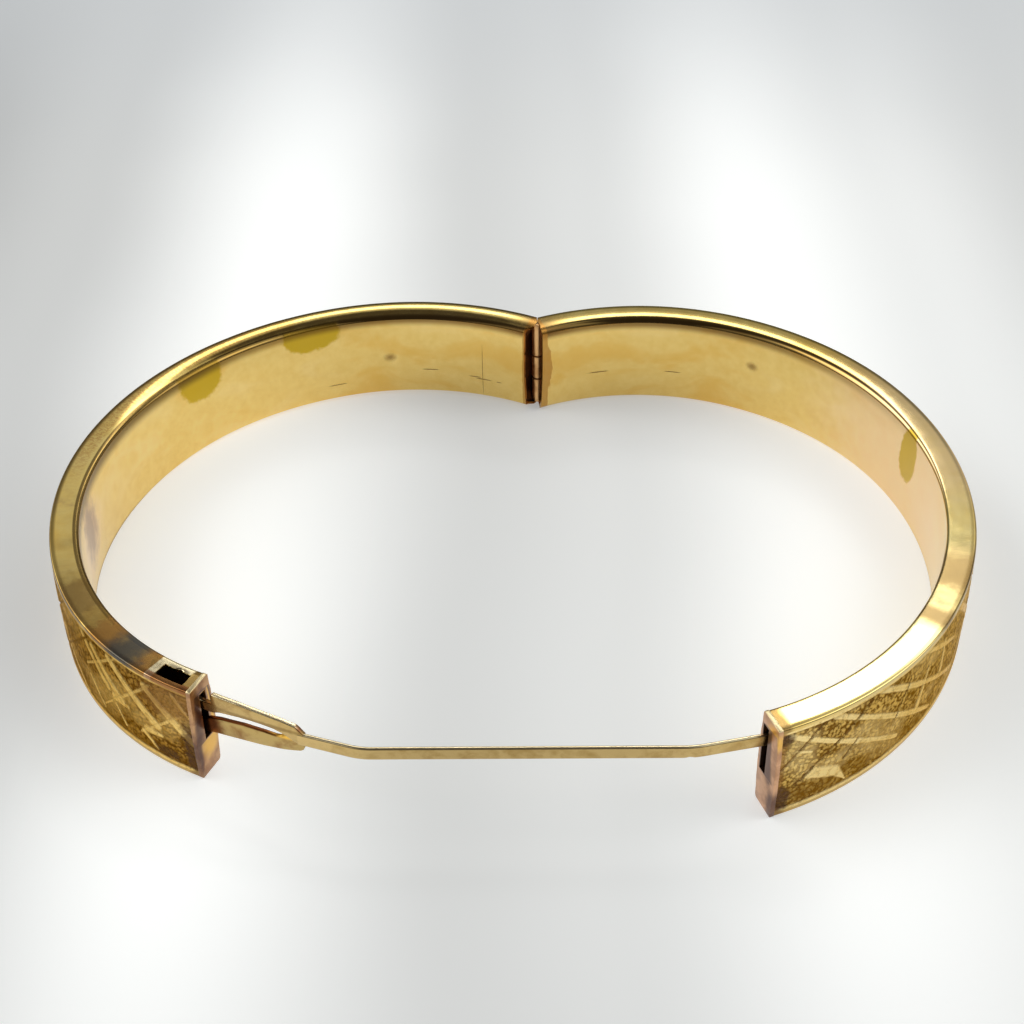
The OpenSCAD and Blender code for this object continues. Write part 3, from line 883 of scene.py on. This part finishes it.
def make_wall(half):
    rings = 1040
    across = 86
    run = (half.total - PLATE + 0.03) * np.linspace(0, 1, rings)[:, None]
    ease = np.maximum(0, 1 - run / END_EASE)
    z = np.linspace(FIELD_FROM, FIELD_TO, across)[None, :]
    s = half.total - run - half.cut_back(0) * ease + 0 * z
    height, polish, pit = relief(half, s, z)
    height = height * ramp(np.minimum(z - FIELD_FROM, FIELD_TO - z), 0, 0.15)
    front = half.at(s, dome(z) - height, z)
    s_back = half.total - run - half.cut_back(WALL_BACK) * ease
    back = [half.at(s_back, WALL_BACK, level + 0 * s_back) for level in (FIELD_TO, FIELD_FROM)]
    points = np.concatenate([front, *back], axis=1)
    thing = tube(half.name + "_engraved_wall", points, wall_material(half), 75)

    def padded(values):
        return np.concatenate([values, values[:, -1:], values[:, :1]], axis=1).reshape(-1)

    put_values(thing, "polish", padded(polish))
    put_values(thing, "pit", padded(pit))
    put_values(thing, "place", np.stack([padded(s), padded(z + 0 * s), 0 * padded(s)], -1))
    return thing


# The tongue and the slots lie along a circle about the hinge axis. On it, places are the distance
# in front of the left end plate, the distance outwards and the height.
TONGUE_R = 59.1
SLOT_IN = 0.38
SLOT_OUT = 0.5
SLOT_FROM = 3.55
SLOT_TO = 8.7


def around(r, a):
    return np.stack([HINGE[0] + r * np.sin(a), HINGE[1] - r * np.cos(a)], -1)


def strip_place(u, w, z):
    return np.concatenate([around(TONGUE_R + w, LEFT.end_a + u / TONGUE_R), np.asarray(z)[..., None]], -1)


# A whole section of the band, for the plates and blocks that close its ends
PLATE_CORNER = 0.3
PLATE_OVER = 0.06


def plate_section():
    inner = LINING_DEPTH + PLATE_OVER
    points = [(dome(z) - 0.02, z) for z in np.linspace(MID, BAND - CORNER, 8)[:-1]]
    points += arc_points((CORNER - 0.02, BAND - CORNER), CORNER, 180, 90, 4)
    points += arc_points((inner - PLATE_CORNER, BAND - PLATE_CORNER), PLATE_CORNER, 90, 0, 6)
    points += [(inner + bulge(z), z) for z in np.linspace(BAND - 1.2, MID, 8)]
    return np.array(points + [(d, BAND - z) for d, z in points[-2:0:-1]])


def full_section(half, inset):
    upper = upper_half_section(half.name)[2:]
    points = [(dome(z), z) for z in np.linspace(MID, BAND - CORNER, 8)[:-1]] + upper
    points = np.array(points + [(d, BAND - z) for d, z in points[-2:0:-1]])
    centre = np.array([(LINING_DEPTH + 0.1) / 2, MID])
    size = np.array([(LINING_DEPTH + 0.3) / 2, MID])
    return centre + (points - centre) * (1 - inset / size)


def make_plate(half):
    a = half.end_a

    def slot_place(u, w, z):
        r = TONGUE_R + w
        return np.stack([HINGE[0] + r * sin(a) + u * cos(a), HINGE[1] - r * cos(a) + u * sin(a), z], -1)

    outline = plate_section()
    outline[:, 0] += 0.02 * np.sin(np.arange(len(outline)) * 1.9 + half.side)
    thing = slab(half.name + "_end_plate", outline, 0, PLATE, lambda depth, s, z: half.at(s, depth, z),
                 plate_material(half), 0.06)
    opening = [(-2, SLOT_FROM + 0.1), (2, SLOT_FROM + 0.1), (2, SLOT_TO), (-2, SLOT_TO)]
    cut(thing, slab("cutter", opening, -SLOT_IN, SLOT_OUT, slot_place, INSIDE, 0))
    return smoothed(thing, 40)


# The hinge: each knuckle with the half it belongs to and the heights of its ends
KNUCKLE_R = 0.6
PIN_R = 0.3
GUTTER = 0.08
KNUCKLE_GAP = 0.12
BLOCK_RECESS = 0.3
KNUCKLES = [("lower", RIGHT, 0.3, 3.18), ("middle", LEFT, 3.3, 5.98), ("upper", RIGHT, 6.1, 9.9)]


def make_block(half):
    def place(depth, run, z):
        back = half.cut_back(depth) + BLOCK_RECESS * ramp(depth, 0.9, 1.5) - end_shift(half, depth, z)
        return half.at(half.total - run - back * (1 - run / HINGE_BLOCK), depth, z)

    section = full_section(half, 0.14)
    thing = slab(half.name + "_hinge_block", section, 0.02, HINGE_BLOCK, place, BLOCK_METAL, 0.03)
    for name, owner, start, end in KNUCKLES:
        if owner is not half:
            low = start - KNUCKLE_GAP / 2
            high = end + KNUCKLE_GAP / 2
            room = [(0.001, low), (KNUCKLE_R + GUTTER, low), (KNUCKLE_R + GUTTER, high), (0.001, high)]
            cut(thing, lathe("cutter", room, INSIDE, 40, 40))
    return smoothed(thing, 40)


def make_knuckle(name, start, end):
    r = KNUCKLE_R
    edge = 0.07
    bore = PIN_R + 0.03
    profile = [(bore, start), (r - edge, start), (r - 0.02, start + 0.02), (r, start + edge)]
    for t in np.linspace(0, 1, 8)[1:-1]:
        profile.append((r - 0.015 * sin(t * 9 + start), start + edge + t * (end - start - 2 * edge)))
    profile += [(r, end - edge), (r - 0.02, end - 0.02), (r - edge, end), (bore, end)]
    return lathe(name + "_knuckle", profile, KNUCKLE_METAL, 48, 50)


def make_pin():
    r = PIN_R
    profile = [(0.02, 0.15), (r * 0.7, 0.17), (r, 0.3), (r, 9.8), (r * 0.7, 9.93), (0.02, 9.95)]
    return lathe("rivet_pin", profile, PIN_METAL, 32, 60)


# The prongs: side outlines by the place along the tongue and the height
def make_tongue():
    outline = [(-3.2, 4.1), (-0.4, 4.2), (1, 4.5), (3.2, 4.78), (5.4, 4.98), (7.3, 5.22)]
    outline += [(8.2, 5.42)] + arc_points((8.55, 6.15), 0.62, -70, 35, 6)
    outline += [(8.95, 6.75), (8.6, 6.98), (7.9, 7.02), (7.5, 6.94), (7, 6.62), (6.6, 6.55)]
    outline += [(5.6, 6.62), (3.66, 6.6), (1.33, 6.3), (0.3, 6), (-0.7, 5.4), (-3.2, 5.2)]
    slices = np.arange(-2.8, 8.9, 0.6)
    return slab("lower_prong", outline, -0.27, 0.14, strip_place, TONGUE_METAL, 0.09, slices)


def make_leaf():
    outline = [(-2.9, 7), (0.87, 7), (1.6, 7.3), (3.4, 7.55), (4.6, 7.62), (5.6, 7.6), (6.6, 7.5)]
    outline += [(7.4, 7.25), (8, 6.9), (8.5, 6.62), (9.1, 6.45), (9.32, 6.9), (9.3, 7.66), (9.1, 7.85)]
    outline += [(8.86, 8.13), (8.62, 8.37), (7.4, 8.63), (5.6, 8.84), (3.4, 9.03), (1, 9.08)]
    outline += [(0.85, 8.9), (0.87, 7.97), (-2.9, 7.95)]
    slices = np.arange(-2.6, 9.2, 0.45)
    return slab("catch_prong", outline, -0.14, 0.31, strip_place, LEAF_METAL, 0.08, slices)


# The safety bar: heights of its edges, thickness, rounding, and its root's place along the tongue
BAR_FROM = 6.45
BAR_TO = 7.68
BAR_THICK = 0.4
BAR_ROUND = 0.16
BAR_ROOT = 8.72


# The bar's path as in the CAD, with rounded corners given by radius and angle about the hinge
def bar_centre():
    end = RIGHT.end_a
    hook = end + 0.95 / TONGUE_R
    points = [(TONGUE_R + 0.15, LEFT.end_a + BAR_ROOT / TONGUE_R), (59.4, radians(-14.8)),
              (58.8, radians(11.2)), (59, end), (59, hook), (60, hook)]
    corners = [complex(*around(r, angle)) for r, angle in points]
    path = [corners[0]]
    for last, corner, coming, r in zip(corners, corners[1:], corners[2:], (6, 8, 8, 0.35)):
        before = (corner - last) / abs(corner - last)
        bend = np.angle((coming - corner) / before)
        inwards = np.sign(bend) * r * 1j * before
        centre = corner - abs(r * tan(bend / 2)) * before + inwards
        path += [centre - inwards * np.exp(1j * bend * k / 8) for k in range(9)]
    path.append(corners[-1])
    return np.array([(p.real, p.imag) for p in path])


def resample(path, step):
    length = np.append(0, np.cumsum(np.linalg.norm(np.diff(path, axis=0), axis=1)))
    keep = np.append(True, np.diff(length) > 1e-6)
    path, length = path[keep], length[keep]
    even = np.unique(np.append(np.arange(0, length[-1], step), length))
    even = even[np.append(True, np.diff(even) > 0.02)]
    return np.stack([np.interp(even, length, path[:, k]) for k in (0, 1)], -1), even


def make_bar():
    path, length = resample(bar_centre(), 0.4)
    ahead = np.gradient(path, axis=0)
    ahead /= np.linalg.norm(ahead, axis=1)[:, None]
    out = np.stack([ahead[:, 1], -ahead[:, 0]], -1)
    middle = (BAR_FROM + BAR_TO) / 2
    section = []
    for k, (qx, qz) in enumerate(((1, -1), (1, 1), (-1, 1), (-1, -1))):
        centre = (qx * (BAR_THICK / 2 - BAR_ROUND), qz * ((BAR_TO - BAR_FROM) / 2 - BAR_ROUND))
        section += arc_points(centre, BAR_ROUND, 90 * k - 90, 90 * k, 4)
    wave = 0.015 * soft_noise(length / 3, 0 * length, 71)
    nick = 0.1 * np.exp(-((path[:, 0] - 13.9) / 0.25) ** 2)
    points = np.zeros((len(path), len(section), 3))
    for k, (w, v) in enumerate(section):
        points[:, k, :2] = path + out * (w + wave[:, None] * 0.5)
        points[:, k, 2] = middle + v + wave + (nick if v < 0 else 0)
    return tube("safety_bar_piece", points, BAR_METAL, 50)


# A piece rides on its body; given another body, its transform is only baked into its mesh
def dress(thing, node, body, other=None, start=None, end=None):
    if other:
        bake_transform(thing)
    else:
        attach(thing, body)
    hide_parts(node)


for half in (LEFT, RIGHT):
    for make in (make_channel, make_wall, make_plate, make_block):
        dress(make(half), half.node, half.body)
for name, half, start, end in KNUCKLES:
    dress(make_knuckle(name, start, end), half.node, half.body)
dress(make_pin(), "hinge_pin", "right_side")
dress(make_tongue(), "snap_tongue", "left_side")
dress(make_leaf(), "catch_leaf", "left_side", "catch",
      strip_place(8, 0, 7.2), strip_place(6.2, 0, 7.2))
# The bar's root sits on the tongue's nose and its far part reaches into the right half
bar_nose = strip_place(BAR_ROOT, 0, 7)
bar_entry = np.append(around(TONGUE_R, RIGHT.end_a + 0.3 / TONGUE_R), 7)
bar_reach = bar_entry - bar_nose
dress(make_bar(), "safety_bar", "left_side", "right_side",
      bar_nose - 0.1 * bar_reach, bar_entry + 0.32 * bar_reach)


# Floor with painted soft pools of light across it, and a glow of its own that softens its shadows:
# each shade with its place in mm from the middle
FLOOR_SHADES = [(-75, 0.3), (75, 0.5), (-46, 0.46), (-21, 0.78), (2, 0.51), (16, 0.56), (36, 0.77),
                (54, 0.64)]
FLOOR_GLOW = 0.62
FLOOR_SIZE = 1.5


def make_floor():
    tree = Tree("pale_floor")
    place = tree.node("TexCoord").outputs["Object"]
    x, y, _ = tree.apart(place)
    warped = tree.math("MULTIPLY_ADD", tree.noise(place, 12, 2, 0.5), 0.012, x)
    shades = tree.node("ValToRGB", {0: tree.map(warped, -0.1, 0.1, easing="LINEAR")})
    ramp_stops = shades.color_ramp
    ramp_stops.interpolation = "EASE"
    for k, (across, shade) in enumerate(FLOOR_SHADES):
        at = (across + 100) / 200
        stop = ramp_stops.elements[k] if k < 2 else ramp_stops.elements.new(at)
        stop.position = at
        stop.color = (shade, shade * 1.01, shade * 1.005, 1)
    # Painted shade: greyer far off, a little darker in front where the bar's shadow falls, and dark
    # further in front
    colour = tree.mix(tree.map(y, 0.06, 0.14, 0, 0.7), shades.outputs[0], (0.44, 0.455, 0.47))
    colour = tree.mix(tree.map(y, -0.03, -0.06, 0, 0.3), colour, (0.46, 0.46, 0.46))
    colour = tree.mix(tree.map(y, -0.12, -0.35), colour, (0.16, 0.16, 0.16))
    glow = tree.node("Emission", {"Color": colour, "Strength": FLOOR_GLOW})
    matt = tree.node("BsdfDiffuse", {"Color": colour})
    tree.output("OutputMaterial", tree.node("AddShader", {0: matt.outputs[0], 1: glow.outputs[0]}))
    edge = FLOOR_SIZE / MM
    corners = [(-edge, -edge, 0), (edge, -edge, 0), (edge, edge, 0), (-edge, edge, 0)]
    new_object("floor", corners, [(0, 1, 2, 3)], tree.owner)


# Light: a pale tent, bright on both sides, with a window behind and a dark strip overhead and
# on the camera's side. Elevations are in degrees.
def make_light():
    world = bpy.data.worlds.new("tent")
    bpy.context.scene.world = world
    tree = Tree("tent", world)
    x, y, z = tree.apart(tree.node("TexCoord").outputs["Generated"])

    def rising(height, start, end):
        return tree.map(height, sin(radians(start)), sin(radians(end)))

    def add(total, power, *masks):
        return tree.mix(1, total, tree.mix(tree.times(*masks), (0, 0, 0), (power, power, power)), "ADD")

    total = tree.mix(rising(z, 29, 39), (0.17, 0.18, 0.165), (0.66, 0.69, 0.66))
    left = tree.times(tree.map(x, -0.12, -0.18), rising(z, 38, 40), tree.map(x, -0.62, -0.45))
    total = tree.mix(left, total, (0.27, 0.26, 0.25))
    overhead = tree.times(tree.map(x, -0.42, -0.28), tree.map(x, 0.26, 0.14), rising(z, 50, 56))
    front = tree.times(tree.map(x, -0.48, -0.32), tree.map(x, 0.36, 0.22), tree.map(y, 0.15, -0.1))
    total = tree.mix(tree.most([overhead, front]), total, (0.06, 0.055, 0.055))
    low_side = tree.map(z, 0.15, 0.45)
    behind = tree.map(y, -0.35, -0.05)
    total = add(total, 2.1, tree.map(x, 0.3, 0.56), low_side, behind)
    total = add(total, 2.1, tree.map(x, -0.44, -0.66), low_side, behind)
    right = tree.times(tree.map(x, 0.4, 0.47), tree.map(y, 0.22, 0.32), tree.map(z, 0.25, 0.4))
    total = tree.mix(right, total, (0.24, 0.23, 0.22))
    slanted = tree.math("MULTIPLY_ADD", x, -0.12, z)
    window = tree.times(rising(slanted, 38.6, 40.4), rising(z, 48.6, 45.6),
                        tree.map(x, -0.17, -0.11), tree.map(x, 0.42, 0.34), tree.map(y, 0.2, 0.35))
    total = add(total, 2.6, window)
    total = add(total, 3.6, window, tree.map(x, 0.1, 0.16), tree.map(x, 0.26, 0.21))
    tree.output("OutputWorld", tree.node("Background", {"Color": total}))


# Camera, fitted to the photograph's points; angles in radians, and its place in mm from the hinge
FOCAL_PX = 1826.16
IMAGE_PX = 1024
SENSOR = 36
PITCH = 0.6836
ROLL = -0.01219
EYE = (-2.846, -157.901, 113.452)


def make_camera():
    data = bpy.data.cameras.new("camera")
    data.sensor_width = SENSOR
    data.lens = SENSOR * FOCAL_PX / IMAGE_PX
    data.clip_start = 0.01
    data.clip_end = 10
    camera = link("camera", data)
    place = Vector((HINGE[0] + EYE[0], HINGE[1] + EYE[1], EYE[2])) * MM
    turn = Matrix.Rotation(pi / 2 - PITCH, 4, "X") @ Matrix.Rotation(ROLL, 4, "Z")
    camera.matrix_world = Matrix.Translation(place) @ turn
    bpy.context.scene.camera = camera


make_floor()
make_light()
make_camera()
bpy.context.scene.view_settings.view_transform = "Standard"
bpy.context.scene.view_settings.look = "None"
